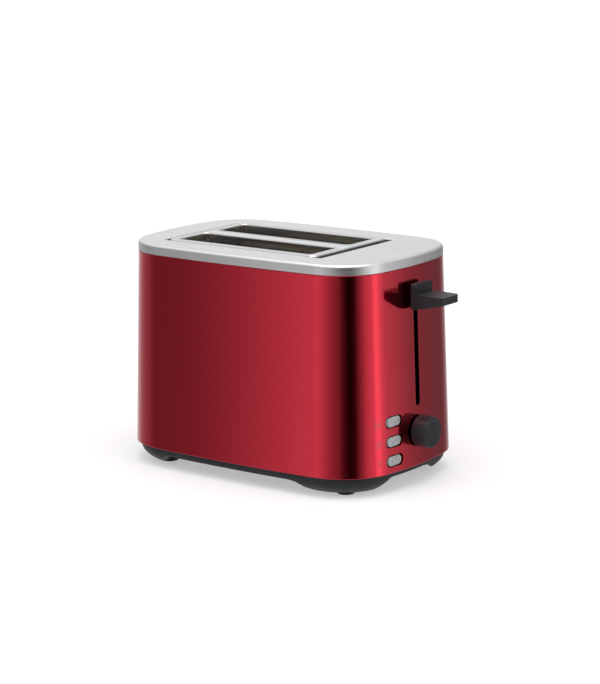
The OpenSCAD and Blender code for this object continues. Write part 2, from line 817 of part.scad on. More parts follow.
outer_shell();
top_cover();
slot_frame();
base();
rubber_feet();
base_screws();
front_end_plate();
rear_end_plate();
left_reflector();
right_reflector();
left_element_board();
centre_element_board();
right_element_board();
left_heating_ribbon();
centre_heating_ribbon();
right_heating_ribbon();
left_outer_guide();
left_inner_guide();
right_inner_guide();
right_outer_guide();
left_bread_rack();
right_bread_rack();
carriage();
carriage_bushes();
lever_arm();
armature();
lever_knob();
guide_rods();
top_bracket();
lift_springs();
control_panel_frame();
control_board();
board_components();
button_switches();
timer_potentiometer();
timer_shaft();
browning_knob();
reheat_button();
defrost_button();
cancel_button();
magnet_core();
magnet_coil();
terminal_block();
internal_wires();
cord_gland();
crumb_tray();
tray_handle();
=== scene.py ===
"""Pop up toaster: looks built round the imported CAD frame. Metres, +X to the lever end, +Z up."""

import json
import math

import bmesh
import bpy
from mathutils import Matrix, Vector


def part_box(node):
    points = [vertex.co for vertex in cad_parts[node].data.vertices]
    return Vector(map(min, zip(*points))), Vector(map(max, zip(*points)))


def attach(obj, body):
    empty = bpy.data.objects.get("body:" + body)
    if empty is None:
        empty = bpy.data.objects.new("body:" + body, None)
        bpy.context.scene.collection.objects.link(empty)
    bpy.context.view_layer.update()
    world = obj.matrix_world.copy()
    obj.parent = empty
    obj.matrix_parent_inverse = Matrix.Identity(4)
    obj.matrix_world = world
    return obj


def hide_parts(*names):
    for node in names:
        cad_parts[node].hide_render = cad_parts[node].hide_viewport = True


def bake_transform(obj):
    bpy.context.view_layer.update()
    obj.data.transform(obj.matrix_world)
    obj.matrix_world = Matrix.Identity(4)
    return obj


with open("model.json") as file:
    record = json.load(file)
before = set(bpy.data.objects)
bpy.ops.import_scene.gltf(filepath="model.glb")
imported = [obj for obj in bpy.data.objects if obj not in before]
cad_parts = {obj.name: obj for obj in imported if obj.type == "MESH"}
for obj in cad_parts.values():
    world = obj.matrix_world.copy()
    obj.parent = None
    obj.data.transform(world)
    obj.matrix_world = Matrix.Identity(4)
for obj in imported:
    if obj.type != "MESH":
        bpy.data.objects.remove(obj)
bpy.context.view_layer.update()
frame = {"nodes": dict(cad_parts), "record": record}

MM = 0.001


# ---------------------------------------------------------------- measures from the frame

def low(node, axis):
    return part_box(node)[0][axis]


def high(node, axis):
    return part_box(node)[1][axis]


SHELL_LOW, SHELL_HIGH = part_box("outer_shell")
MID_X = (SHELL_LOW.x + SHELL_HIGH.x) / 2
HALF_LENGTH = (SHELL_HIGH.x - SHELL_LOW.x) / 2
HALF_WIDTH = (SHELL_HIGH.y - SHELL_LOW.y) / 2
BASE_Z = SHELL_LOW.z
SHELL_TOP = SHELL_HIGH.z
TOP_Z = high("top_cover", 2)
SIDE_RADIUS = 1418 * MM  # bowed long sides
END_RADIUS = 284 * MM  # bowed ends
CORNER_RADIUS = 49.3 * MM
LEAN = 5.3 * MM  # how far the shell leans in over its height
WALL = 1.2 * MM
SEAM = 0.3 * MM
RIM_Z = SHELL_TOP + SEAM


# ---------------------------------------------------------------- the body's plan

def lean(z):
    """How far the shell's outside has leaned in at height z."""
    return (z - BASE_Z) * LEAN / (SHELL_TOP - BASE_Z)


def corner_geometry():
    """Centre of a corner arc and the angles where it meets the end's arc and the side's arc."""
    end = Vector((HALF_LENGTH - END_RADIUS, 0))
    side = Vector((0, HALF_WIDTH - SIDE_RADIUS))
    span = end - side
    reach_side = SIDE_RADIUS - CORNER_RADIUS
    reach_end = END_RADIUS - CORNER_RADIUS
    along = (reach_side ** 2 - reach_end ** 2 + span.length_squared) / (2 * span.length)
    off = math.sqrt(reach_side ** 2 - along ** 2)
    unit = span.normalized()
    centre = side + along * unit + off * Vector((unit.y, -unit.x))
    end_turn = math.atan2(centre.y - end.y, centre.x - end.x)
    side_turn = math.atan2(centre.y - side.y, centre.x - side.x)
    return end, side, centre, end_turn, side_turn


END_CENTRE, SIDE_CENTRE, CORNER_CENTRE, END_TURN, SIDE_TURN = corner_geometry()


def arc(centre, radius, start, stop, steps):
    """Points from start up to, but not at, stop."""
    turns = [start + (stop - start) * i / steps for i in range(steps)]
    return [(centre[0] + radius * math.cos(t), centre[1] + radius * math.sin(t)) for t in turns]


def quarter(inset, steps):
    end_steps, corner_steps, side_steps = steps
    points = arc(END_CENTRE, END_RADIUS - inset, 0, END_TURN, end_steps)
    points += arc(CORNER_CENTRE, CORNER_RADIUS - inset, END_TURN, SIDE_TURN, corner_steps)
    points += arc(SIDE_CENTRE, SIDE_RADIUS - inset, SIDE_TURN, math.pi / 2, side_steps)
    return points + [(0.0, HALF_WIDTH - inset)]


def body_loop(z, inset, steps=(12, 30, 12)):
    """The body's plan, moved in by inset, as a closed loop of points at height z."""
    q = quarter(inset, steps)
    inner = q[1:-1]
    plan = q[:-1]
    plan += [(-x, y) for x, y in [q[-1]] + inner[::-1]]
    plan += [(-x, -y) for x, y in q[:-1]]
    plan += [(x, -y) for x, y in [q[-1]] + inner[::-1]]
    return [Vector((MID_X + x, y, z)) for x, y in plan]


def end_x(y, inset):
    """How far the body's end is from its middle at sideways place y, with the plan moved in by inset."""
    split = (END_RADIUS - inset) * math.sin(END_TURN)
    if abs(y) <= split:
        return END_CENTRE.x + math.sqrt((END_RADIUS - inset) ** 2 - y * y)
    return CORNER_CENTRE.x + math.sqrt((CORNER_RADIUS - inset) ** 2 - (abs(y) - CORNER_CENTRE.y) ** 2)


def rear_point(y, z, inset):
    return Vector((MID_X - end_x(y, inset), y, z))


def front_point(y, z, proud):
    return Vector((MID_X + end_x(y, lean(z)) + proud, y, z))


def plan_normal(point):
    """Outward normal of the shell's leaning wall at a point on it."""
    x, y = abs(point.x - MID_X), abs(point.y)
    if math.atan2(y, x - END_CENTRE.x) <= END_TURN:
        flat = Vector((x - END_CENTRE.x, y))
    elif math.atan2(y - SIDE_CENTRE.y, x) >= SIDE_TURN:
        flat = Vector((x, y - SIDE_CENTRE.y))
    else:
        flat = Vector((x, y)) - CORNER_CENTRE
    flat.normalize()
    tilt = LEAN / (SHELL_TOP - BASE_Z)
    return Vector((math.copysign(flat.x, point.x - MID_X), math.copysign(flat.y, point.y), tilt)).normalized()


# ---------------------------------------------------------------- outlines

def round_rectangle(low_xy, high_xy, radius, z, steps=8):
    """Closed loop of a rectangle with round corners, at height z, anticlockwise from above."""
    points = []
    corners = ((high_xy[0] - radius, high_xy[1] - radius, 0), (low_xy[0] + radius, high_xy[1] - radius, 90),
               (low_xy[0] + radius, low_xy[1] + radius, 180), (high_xy[0] - radius, low_xy[1] + radius, 270))
    for x, y, start in corners:
        for i in range(steps + 1):
            t = math.radians(start + 90 * i / steps)
            points.append(Vector((x + radius * math.cos(t), y + radius * math.sin(t), z)))
    return points


def quarter_turn(steps):
    return [math.radians(90 * i / steps) for i in range(steps + 1)]


def smooth_step(a, b, value):
    t = min(1.0, max(0.0, (value - a) / (b - a)))
    return t * t * (3 - 2 * t)


def pill(half_w, half_h, steps=12):
    """Outline with round ends, as (across, up) pairs, anticlockwise from its right end."""
    straight = half_w - half_h
    right = [(straight + half_h * math.cos(t), half_h * math.sin(t))
             for t in (math.radians(-90 + 180 * i / steps) for i in range(steps + 1))]
    return right + [(-u, -v) for u, v in right]


def circle_outline(radius, steps=40):
    return [(radius * math.cos(2 * math.pi * i / steps), radius * math.sin(2 * math.pi * i / steps))
            for i in range(steps)]


def box_outline(half_y, half_z, radius):
    """Rectangle with round corners, as (Y, Z) pairs."""
    loop = round_rectangle((-half_y, -half_z), (half_y, half_z), radius, 0, 4)
    return [(p.x, p.y) for p in loop]


def fillet(radius, x, y, steps=6):
    """Quarter round that ends a turned piece: from its side at radius x to its face at height y."""
    return [(x - radius * (1 - math.cos(t)), y - radius * (1 - math.sin(t))) for t in quarter_turn(steps)]


# ---------------------------------------------------------------- mesh helpers

def add_loop(bm, points):
    return [bm.verts.new(p) for p in points]


def bridge(bm, a, b):
    """Quads between two loops of the same length. The outside is on the right when walking along a with
    b above."""
    n = len(a)
    for i in range(n):
        bm.faces.new((a[i], a[(i + 1) % n], b[(i + 1) % n], b[i]))


def loft(bm, loops, closed=False):
    """Skins loops of points and gives back the rows of vertices. closed joins the last to the first."""
    rows = [add_loop(bm, points) for points in loops]
    for a, b in zip(rows, rows[1:]):
        bridge(bm, a, b)
    if closed:
        bridge(bm, rows[-1], rows[0])
    return rows


def loop_edges(bm, row):
    n = len(row)
    return [bm.edges.get((row[i], row[(i + 1) % n])) or bm.edges.new((row[i], row[(i + 1) % n]))
            for i in range(n)]


def prism_along_x(outline, x1, x2, y, z):
    """Closed prism between x1 and x2 with a (Y, Z) outline about (y, z)."""
    bm = bmesh.new()
    near, far = ([bm.verts.new((x, y + u, z + v)) for u, v in outline] for x in (x1, x2))
    bridge(bm, near, far)
    bm.faces.new(near)
    bm.faces.new(far)
    bmesh.ops.recalc_face_normals(bm, faces=bm.faces)
    return bm


def prism_along_z(outline, x, y, z1, z2):
    bm = bmesh.new()
    low_ring, high_ring = ([bm.verts.new((x + u, y + v, z)) for u, v in outline] for z in (z1, z2))
    bridge(bm, low_ring, high_ring)
    bm.faces.new(low_ring)
    bm.faces.new(high_ring)
    bmesh.ops.recalc_face_normals(bm, faces=bm.faces)
    return bm


def turned(profile, steps=64):
    """Surface of revolution about +Z from (radius, height) pairs, closed where the radius is nought."""
    bm = bmesh.new()
    rows = []
    for radius, height in profile:
        ring = [(0, 0)] if radius == 0 else circle_outline(radius, steps)
        rows.append([bm.verts.new((x, y, height)) for x, y in ring])
    for a, b in zip(rows, rows[1:]):
        if len(a) == 1:
            for i in range(steps):
                bm.faces.new((a[0], b[(i + 1) % steps], b[i]))
        elif len(b) == 1:
            for i in range(steps):
                bm.faces.new((a[i], a[(i + 1) % steps], b[0]))
        else:
            bridge(bm, a, b)
    bmesh.ops.recalc_face_normals(bm, faces=bm.faces)
    return bm


def along_x(bm, x, y, z):
    """Turns a piece drawn about +Z to lie about +X, and puts its start at (x, y, z)."""
    turn = Matrix(((0, 0, 1, x), (0, 1, 0, y), (-1, 0, 0, z), (0, 0, 0, 1)))
    bmesh.ops.transform(bm, matrix=turn, verts=bm.verts)
    return bm


def join(holder, bm):
    """Adds the contents of bm to holder."""
    mesh = bpy.data.meshes.new("part")
    bm.to_mesh(mesh)
    bm.free()
    holder.from_mesh(mesh)
    bpy.data.meshes.remove(mesh)


# ---------------------------------------------------------------- pieces

def finish_mesh(name, bm, material, body, replaces=(), smooth=35, recalc=True):
    """Turns bm into a piece that rides on body and stands for the CAD nodes it replaces."""
    bmesh.ops.remove_doubles(bm, verts=bm.verts, dist=1e-7)
    if recalc:
        bmesh.ops.recalc_face_normals(bm, faces=bm.faces)
    mesh = bpy.data.meshes.new(name)
    bm.to_mesh(mesh)
    bm.free()
    return finish_object(name, mesh, material, body, replaces, smooth)


def finish_object(name, mesh, material, body, replaces=(), smooth=35):
    mesh.materials.clear()
    mesh.materials.append(material)
    mesh.shade_smooth()
    mesh.set_sharp_from_angle(angle=math.radians(smooth))
    piece = bpy.data.objects.new(name, mesh)
    bpy.context.scene.collection.objects.link(piece)
    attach(piece, body)
    if replaces:
        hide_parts(*replaces)
    return piece


def add_modifier(piece, kind, **settings):
    modifier = piece.modifiers.new(kind.lower(), kind)
    for key, value in settings.items():
        setattr(modifier, key, value)
    return modifier


def apply_modifiers(piece):
    """Replaces the piece's mesh with what its modifiers make of it."""
    bpy.context.view_layer.update()
    graph = bpy.context.evaluated_depsgraph_get()
    result = bpy.data.meshes.new_from_object(piece.evaluated_get(graph))
    piece.modifiers.clear()
    old = piece.data
    piece.data = result
    bpy.data.meshes.remove(old)


def round_edges(piece, width, angle=40, segments=3):
    add_modifier(piece, "BEVEL", width=width, segments=segments, limit_method="ANGLE",
                 angle_limit=math.radians(angle), harden_normals=True)


def combine(piece, bm, operation):
    """Unites the piece with another solid or takes the solid out of it, and applies the result."""
    mesh = bpy.data.meshes.new("tool")
    bm.to_mesh(mesh)
    bm.free()
    tool = bpy.data.objects.new("tool", mesh)
    bpy.context.scene.collection.objects.link(tool)
    add_modifier(piece, "BOOLEAN", operation=operation, solver="EXACT", object=tool)
    apply_modifiers(piece)
    bpy.data.objects.remove(tool)
    bpy.data.meshes.remove(mesh)


def cut(piece, cutters):
    """Takes the cutters out of the piece."""
    holder = bmesh.new()
    for cutter in cutters:
        join(holder, cutter)
    combine(piece, holder, "DIFFERENCE")


# ---------------------------------------------------------------- material helpers

class Nodes:
    """Short way to build one node material."""

    def __init__(self, name):
        self.material = bpy.data.materials.new(name)
        self.material.use_nodes = True
        self.tree = self.material.node_tree
        self.shader = self.tree.nodes["Principled BSDF"]
        self.place = self.add("ShaderNodeTexCoord").outputs["Object"]

    def add(self, kind, **settings):
        node = self.tree.nodes.new(kind)
        for key, value in settings.items():
            setattr(node, key, value)
        return node

    def link(self, out, into):
        self.tree.links.new(out, into)

    def set(self, **values):
        for key, value in values.items():
            self.shader.inputs[key.replace("_", " ")].default_value = value

    def stretched(self, scale):
        """The piece's own coordinates, scaled along each axis."""
        mapping = self.add("ShaderNodeMapping")
        mapping.inputs["Scale"].default_value = scale
        self.link(self.place, mapping.inputs["Vector"])
        return mapping.outputs["Vector"]

    def noise(self, scale, detail=3.0, rough=0.55, vector=None):
        node = self.add("ShaderNodeTexNoise")
        node.inputs["Scale"].default_value = scale
        node.inputs["Detail"].default_value = detail
        node.inputs["Roughness"].default_value = rough
        self.link(vector or self.place, node.inputs["Vector"])
        return node.outputs["Fac"]

    def span(self, value, low_out, high_out, low_in=0.3, high_in=0.7):
        """Maps a value between two limits to a number between two others."""
        node = self.add("ShaderNodeMapRange")
        limits = {"From Min": low_in, "From Max": high_in, "To Min": low_out, "To Max": high_out}
        for key, number in limits.items():
            node.inputs[key].default_value = number
        self.link(value, node.inputs["Value"])
        return node.outputs["Result"]

    def mix_value(self, factor, low_value, high_value):
        node = self.add("ShaderNodeMix", data_type="FLOAT")
        for key, output in (("Factor", factor), ("A", low_value), ("B", high_value)):
            self.link(output, node.inputs[key])
        return node.outputs["Result"]

    def blend(self, value, low_colour, high_colour):
        node = self.add("ShaderNodeMix", data_type="RGBA")
        node.inputs["A"].default_value = (*low_colour, 1)
        node.inputs["B"].default_value = (*high_colour, 1)
        self.link(value, node.inputs["Factor"])
        return node.outputs["Result"]

    def bump(self, height, strength, distance):
        node = self.add("ShaderNodeBump")
        node.inputs["Strength"].default_value = strength
        node.inputs["Distance"].default_value = distance
        self.link(height, node.inputs["Height"])
        return node.outputs["Normal"]

    def into(self, key, output):
        self.link(output, self.shader.inputs[key])


def lacquer():
    """Red see-through lacquer over fine metal: metallic flakes under a clear coat."""
    m = Nodes("red_lacquer")
    flakes = m.noise(3000, detail=2.0)
    cloud = m.noise(7, detail=2.0)
    m.set(Metallic=1.0, Coat_Weight=0.9, Coat_Roughness=0.05, Coat_IOR=1.55)
    m.into("Base Color", m.blend(m.span(flakes, 0, 1), (0.74, 0.002, 0.028), (0.82, 0.004, 0.038)))
    m.into("Roughness", m.span(cloud, 0.135, 0.155))
    m.into("Normal", m.bump(flakes, 0.012, 0.01 * MM))
    return m.material


def brushed_steel(name, colour, roughness=(0.24, 0.38), lines=1400, depth=0.12, anisotropic=0.7):
    """Steel brushed lengthwise: along X on flat tops, and level round the walls."""
    m = Nodes(name)
    normal = m.add("ShaderNodeNewGeometry").outputs["Normal"]
    flat = m.add("ShaderNodeMath", operation="ABSOLUTE")
    parts = m.add("ShaderNodeSeparateXYZ")
    m.link(normal, parts.inputs[0])
    m.link(parts.outputs["Z"], flat.inputs[0])
    on_top = m.span(flat.outputs[0], 0, 1, 0.6, 0.9)
    top_lines = m.noise(lines, detail=4.0, rough=0.7, vector=m.stretched((0.012, 1, 1)))
    wall_lines = m.noise(lines, detail=4.0, rough=0.7, vector=m.stretched((0.012, 0.012, 1)))
    grain = m.mix_value(on_top, wall_lines, top_lines)
    wide = m.noise(130, detail=3.0, vector=m.stretched((0.02, 1, 1)))
    smudge = m.noise(14, detail=3.0)
    around = m.add("ShaderNodeVectorMath", operation="CROSS_PRODUCT")
    around.inputs[0].default_value = (0, 0, 1)
    m.link(normal, around.inputs[1])
    tangent = m.add("ShaderNodeMix", data_type="VECTOR")
    tangent.inputs["B"].default_value = (1, 0, 0)
    m.link(on_top, tangent.inputs["Factor"])
    m.link(around.outputs[0], tangent.inputs["A"])
    m.into("Tangent", tangent.outputs["Result"])
    m.set(Metallic=1.0, Anisotropic=anisotropic)
    m.into("Base Color", m.blend(m.span(wide, 0, 1), tuple(0.93 * c for c in colour), colour))
    rough = m.add("ShaderNodeMath", operation="ADD")
    m.link(m.span(grain, *roughness), rough.inputs[0])
    m.link(m.span(smudge, -0.02, 0.03), rough.inputs[1])
    m.into("Roughness", rough.outputs[0])
    m.into("Normal", m.bump(grain, depth, 0.05 * MM))
    return m.material


def plain_metal(name, colour, roughness=(0.25, 0.4), tint=None, mottled=60):
    """Sheet, wire or turned metal with a slight mottle, and a heat tint where given."""
    m = Nodes(name)
    mottle = m.noise(mottled, detail=4.0)
    fine = m.noise(1500, detail=2.0)
    m.set(Metallic=1.0)
    m.into("Base Color", m.blend(m.span(mottle, 0, 1), tint or tuple(0.85 * c for c in colour), colour))
    m.into("Roughness", m.span(mottle, *roughness))
    m.into("Normal", m.bump(fine, 0.06, 0.03 * MM))
    return m.material


def moulded(name, colour, roughness=(0.38, 0.5), grain=2200, depth=0.25, gloss=0.5):
    """Moulded plastic with a fine spark-eroded grain."""
    m = Nodes(name)
    fine = m.noise(grain, detail=3.0)
    wide = m.noise(35, detail=3.0)
    m.set(Specular_IOR_Level=gloss)
    lighter = tuple(min(1.0, 1.25 * c + 0.004) for c in colour)
    m.into("Base Color", m.blend(m.span(wide, 0, 1), colour, lighter))
    m.into("Roughness", m.span(fine, *roughness))
    m.into("Normal", m.bump(fine, depth, 0.03 * MM))
    return m.material


def button_plastic():
    """Milky grey plastic that lets a little light in."""
    m = Nodes("button_plastic")
    fine = m.noise(1800, detail=3.0)
    cloud = m.noise(260, detail=3.0)
    m.set(Subsurface_Weight=0.25, Subsurface_Scale=1.5 * MM, Coat_Weight=0.3, Coat_Roughness=0.2)
    m.into("Base Color", m.blend(m.span(cloud, 0, 1), (0.33, 0.34, 0.35), (0.45, 0.46, 0.47)))
    m.into("Roughness", m.span(fine, 0.32, 0.45))
    m.into("Normal", m.bump(fine, 0.1, 0.03 * MM))
    return m.material


def mica_sheet():
    m = Nodes("mica_sheet")
    flakes = m.add("ShaderNodeTexVoronoi")
    flakes.inputs["Scale"].default_value = 320
    m.link(m.place, flakes.inputs["Vector"])
    cloud = m.noise(45, detail=4.0)
    m.set(Sheen_Weight=0.2, Coat_Weight=0.25, Coat_Roughness=0.3)
    m.into("Base Color", m.blend(m.span(cloud, 0, 1), (0.17, 0.12, 0.07), (0.30, 0.23, 0.14)))
    m.into("Roughness", m.span(flakes.outputs["Distance"], 0.3, 0.55, 0, 0.8))
    m.into("Normal", m.bump(cloud, 0.2, 0.05 * MM))
    return m.material


def floor_paint():
    """Pale floor that glows a little, and more away from the object, so that it fades to white."""
    m = Nodes("pale_floor")
    m.set(Roughness=0.9, Specular_IOR_Level=0.1)
    m.into("Base Color", m.blend(m.span(m.noise(2.0), 0, 1), (0.60, 0.60, 0.60), (0.64, 0.64, 0.64)))
    away = m.add("ShaderNodeVectorMath", operation="LENGTH")
    m.link(m.place, away.inputs[0])
    m.shader.inputs["Emission Color"].default_value = (1, 1, 1, 1)
    m.into("Emission Strength", m.span(away.outputs["Value"], 0.43, 0.6, 0.2, 1.2))
    return m.material


MATERIALS = {
    "painted_shell": lacquer(),
    "brushed_top": brushed_steel("brushed_top", (0.88, 0.88, 0.88)),
    "slot_steel": brushed_steel("slot_steel", (0.86, 0.86, 0.87), (0.16, 0.26), depth=0.04, anisotropic=0.3),
    "black_plastic": moulded("black_plastic", (0.0105, 0.0108, 0.0145), gloss=0.42),
    "rubber": moulded("rubber", (0.012, 0.012, 0.012), (0.6, 0.75), 900, 0.5, 0.3),
    "button_plastic": button_plastic(),
    "sheet_steel": plain_metal("sheet_steel", (0.58, 0.58, 0.60), (0.3, 0.45)),
    "wire_steel": plain_metal("wire_steel", (0.72, 0.71, 0.70), (0.12, 0.25)),
    "reflector_steel": plain_metal(
        "reflector_steel", (0.40, 0.34, 0.27), (0.2, 0.35), (0.26, 0.17, 0.10), 25),
    "mica": mica_sheet(),
    "nichrome": plain_metal("nichrome", (0.34, 0.29, 0.27), (0.4, 0.55), (0.20, 0.15, 0.13), 90),
    "circuit_board": moulded("circuit_board", (0.03, 0.16, 0.08), (0.3, 0.4), 700, 0.1),
    "component_black": moulded("component_black", (0.03, 0.03, 0.033), (0.35, 0.5), 1500),
    "copper": plain_metal("copper", (0.62, 0.26, 0.13), (0.25, 0.35), None, 400),
    "nylon": moulded("nylon", (0.70, 0.68, 0.61), (0.4, 0.5)),
    "terminal_plastic": moulded("terminal_plastic", (0.68, 0.68, 0.65), (0.35, 0.5)),
    "print": moulded("grey_print", (0.20, 0.10, 0.11), (0.4, 0.5), 900, 0.0),
    "wire_sleeve": moulded("wire_sleeve", (0.55, 0.51, 0.43), (0.7, 0.8), 1200, 0.6, 0.3),
}
SLOT_OF = {row["node"]: row["material_slot"] for row in frame["record"]["subparts"]}
BODY_OF = {node: body for body, nodes in frame["record"]["behaviour"]["bodies"].items() for node in nodes}


def dress_cad_nodes():
    """Every CAD node gets its slot's procedural material."""
    for name, node in frame["nodes"].items():
        node.data.materials.clear()
        node.data.materials.append(MATERIALS[SLOT_OF[name]])


def piece_of(node, name, bm, smooth=35, recalc=True):
    """A finished piece that replaces one CAD node, rides on that node's body and takes its slot's material.
    """
    slot = SLOT_OF[node]
    piece = finish_mesh(name, bm, MATERIALS[slot], BODY_OF[node], (node,), smooth, recalc)
    return piece


# ---------------------------------------------------------------- shell

LEVER_SLOT_HALF = 3 * MM
LEVER_SLOT_LOW = 66.6 * MM
LEVER_SLOT_HIGH = 164 * MM
BUTTONS = ("reheat_button", "defrost_button", "cancel_button")
BUTTON_Y = (low("reheat_button", 1) + high("reheat_button", 1)) / 2
BUTTON_HALF_W = (high("reheat_button", 1) - low("reheat_button", 1)) / 2
BUTTON_HALF_H = (high("reheat_button", 2) - low("reheat_button", 2)) / 2
BUTTON_ROOM = (1.8 * MM, 0.95 * MM)  # gap beside and above a button
KNOB_Z = (low("browning_knob", 2) + high("browning_knob", 2)) / 2
GLAND_Z = (low("cord_gland", 2) + high("cord_gland", 2)) / 2


def button_z(node):
    return (low(node, 2) + high(node, 2)) / 2


def smooth_walls(mesh):
    """Gives the leaning walls their exact normals, so that holes leave no dents in the reflections."""
    normals = [n.vector.copy() for n in mesh.corner_normals]
    for face in mesh.polygons:
        if abs(face.normal.z) > 0.1:
            continue
        for index in face.loop_indices:
            true = plan_normal(mesh.vertices[mesh.loops[index].vertex_index].co)
            if abs(face.normal.dot(true)) > 0.95:
                normals[index] = true if face.normal.dot(true) > 0 else -true
    mesh.normals_split_custom_set(normals)


def outer_shell():
    """Drawn sleeve: rolled lower edge, leaning wall, rolled upper edge, and the holes at both ends."""
    roll, top_roll = 0.5 * MM, 0.15 * MM
    turns = [math.radians(90 * i / 4) for i in range(5)]
    outside = [(BASE_Z + roll * (1 - math.cos(t)), roll * (1 - math.sin(t))) for t in turns]
    outside += [(BASE_Z + (SHELL_TOP - BASE_Z) * i / 6, 0) for i in range(1, 6)]
    outside += [(SHELL_TOP - top_roll * (1 - math.sin(t)), top_roll * (1 - math.cos(t))) for t in turns]
    inside = [(SHELL_TOP, WALL), (BASE_Z, WALL)]
    bm = bmesh.new()
    loft(bm, [body_loop(z, lean(z) + inset) for z, inset in outside + inside], closed=True)
    piece = piece_of("outer_shell", "red_shell", bm)
    front, back = SHELL_HIGH.x + 5 * MM, SHELL_LOW.x - 5 * MM
    deep = 30 * MM
    slot_outline = [(v, u) for u, v in pill((LEVER_SLOT_HIGH - LEVER_SLOT_LOW) / 2, LEVER_SLOT_HALF)]
    cutters = [prism_along_x(slot_outline, front - deep, front, 0, (LEVER_SLOT_LOW + LEVER_SLOT_HIGH) / 2)]
    hole = pill(BUTTON_HALF_W + BUTTON_ROOM[0], BUTTON_HALF_H + BUTTON_ROOM[1])
    cutters += [prism_along_x(hole, front - deep, front, BUTTON_Y, button_z(node)) for node in BUTTONS]
    cutters.append(prism_along_x(circle_outline(5 * MM), front - deep, front, 0, KNOB_Z))
    tray_low, tray_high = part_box("crumb_tray")
    tray_half = (tray_high.y - tray_low.y) / 2 + 1 * MM
    tray_mid = (tray_high.z + tray_low.z) / 2
    tray_room = (tray_high.z - tray_low.z) / 2 + 1.5 * MM
    cutters.append(prism_along_x(box_outline(tray_half, tray_room, 1 * MM), back, back + deep, 0, tray_mid))
    cutters.append(prism_along_x(circle_outline(6 * MM), back, back + deep, 0, GLAND_Z))
    cut(piece, cutters)
    piece.data.shade_smooth()
    piece.data.set_sharp_from_angle(angle=math.radians(30))
    smooth_walls(piece.data)
    return piece


# ---------------------------------------------------------------- top cover and slot frame

def plate_with_holes(bm, outer_loops, hole_loops):
    """A flat plate whose edge is skinned by outer_loops and whose holes are skinned by hole_loops, each from
    the plate's plane outwards or down into the hole."""
    edges = []
    for loops in [outer_loops] + hole_loops:
        rows = loft(bm, loops)
        edges += loop_edges(bm, rows[0])
    bmesh.ops.triangle_fill(bm, use_beauty=True, edges=edges)


def top_cover():
    """Drawn cover: rounded upper edge, a rim down to the seam, and an opening folded down round the frame."""
    edge = 3 * MM
    fold = 1 * MM
    hole_corner, hole_depth = 0.8 * MM, 6.5 * MM
    gap_back, gap_front, gap_side = 4.8 * MM, 7.5 * MM, 1 * MM
    rim_inset = lean(RIM_Z)
    outer = [body_loop(TOP_Z - edge * (1 - math.cos(t)), rim_inset + edge * (1 - math.sin(t)))
             for t in quarter_turn(8)]
    outer += [body_loop(z, rim_inset) for z in (RIM_Z + 3 * MM, RIM_Z + 0.3 * MM)]
    outer += [body_loop(RIM_Z, rim_inset + 0.25 * MM), body_loop(RIM_Z, rim_inset + 1 * MM)]
    frame_low, frame_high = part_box("slot_frame")
    hole_low = (frame_low.x - gap_back, frame_low.y - gap_side)
    hole_high = (frame_high.x + gap_front, frame_high.y + gap_side)
    hole = []
    for t in quarter_turn(5):
        grow = fold * (1 - math.sin(t))
        hole.append(round_rectangle((hole_low[0] - grow, hole_low[1] - grow),
                                    (hole_high[0] + grow, hole_high[1] + grow),
                                    hole_corner + grow, TOP_Z - fold * (1 - math.cos(t))))
    hole.append(round_rectangle(hole_low, hole_high, hole_corner, TOP_Z - hole_depth))
    bm = bmesh.new()
    plate_with_holes(bm, outer, [hole])
    piece = piece_of("top_cover", "steel_top", bm, 30)
    add_modifier(piece, "SOLIDIFY", thickness=0.9 * MM, offset=-1)
    add_modifier(piece, "WEIGHTED_NORMAL", keep_sharp=True)
    return piece


def slot_frame():
    """Pressed frame: a rolled outer edge, a shallow channel, and a turned-in collar round each slot."""
    frame_low, frame_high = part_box("slot_frame")
    top = frame_high.z
    bead = 1.5 * MM
    channel = 0.5 * MM
    rim_depth, collar_depth = 6 * MM, 8 * MM
    frame_corner, slot_corner = 5.5 * MM, 4 * MM
    slot_length, slot_width, divider = 139 * MM, 38.5 * MM, 15 * MM
    slot_mid_x = frame_low.x + 5.2 * MM + slot_length / 2
    # how the bead slopes down into the channel: distance past the bead, and height
    slope = ((1.0 * MM, top - channel), (0.5 * MM, top - 0.15 * MM))

    def outline(grow, z):
        return round_rectangle((frame_low.x - grow, frame_low.y - grow),
                               (frame_high.x + grow, frame_high.y + grow), frame_corner + grow, z, 10)

    def slot(side, grow, z):
        mid = side * (divider + slot_width) / 2
        return round_rectangle((slot_mid_x - slot_length / 2 - grow, mid - slot_width / 2 - grow),
                               (slot_mid_x + slot_length / 2 + grow, mid + slot_width / 2 + grow),
                               slot_corner + grow, z, 10)

    outer = [outline(-bead - past, z) for past, z in slope]
    outer += [outline(-bead * (1 - math.sin(t)), top - bead * (1 - math.cos(t))) for t in quarter_turn(6)]
    outer.append(outline(0, top - rim_depth))
    holes = []
    for side in (-1, 1):
        hole = [slot(side, bead + past, z) for past, z in slope]
        hole += [slot(side, bead * (1 - math.sin(t)), top - bead * (1 - math.cos(t)))
                 for t in quarter_turn(6)]
        hole.append(slot(side, 0, top - collar_depth))
        holes.append(hole)
    bm = bmesh.new()
    plate_with_holes(bm, outer, holes)
    piece = piece_of("slot_frame", "steel_slot_frame", bm, 40)
    add_modifier(piece, "SOLIDIFY", thickness=0.6 * MM, offset=-1)
    add_modifier(piece, "WEIGHTED_NORMAL", keep_sharp=True)
    return piece


# ---------------------------------------------------------------- base and feet

